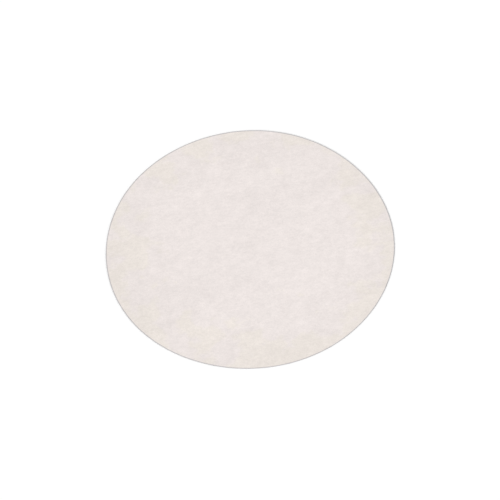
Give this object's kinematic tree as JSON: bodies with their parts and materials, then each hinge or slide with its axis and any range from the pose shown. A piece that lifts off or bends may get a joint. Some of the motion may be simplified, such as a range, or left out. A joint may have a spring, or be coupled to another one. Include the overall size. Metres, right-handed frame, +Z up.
{
  "type": "filter paper disc",
  "caption": "Flat round disc of plain off-white laboratory filter paper, cut from one sheet, for lining a flat-plate funnel or folding into a cone.",
  "frame": {"origin": "centre of the disc's lower face, on the surface that it lies on", "axes": "+Z up out of the upper face; +X along the paper's grain, the direction in which most of its fibres lie"},
  "size_m": [0.125, 0.125, 0.0002],
  "materials": {
    "filter_paper": "matte"
  },
  "bodies": {
    "root": {"filter_paper_disc": "filter_paper"}
  },
  "joints": []
}
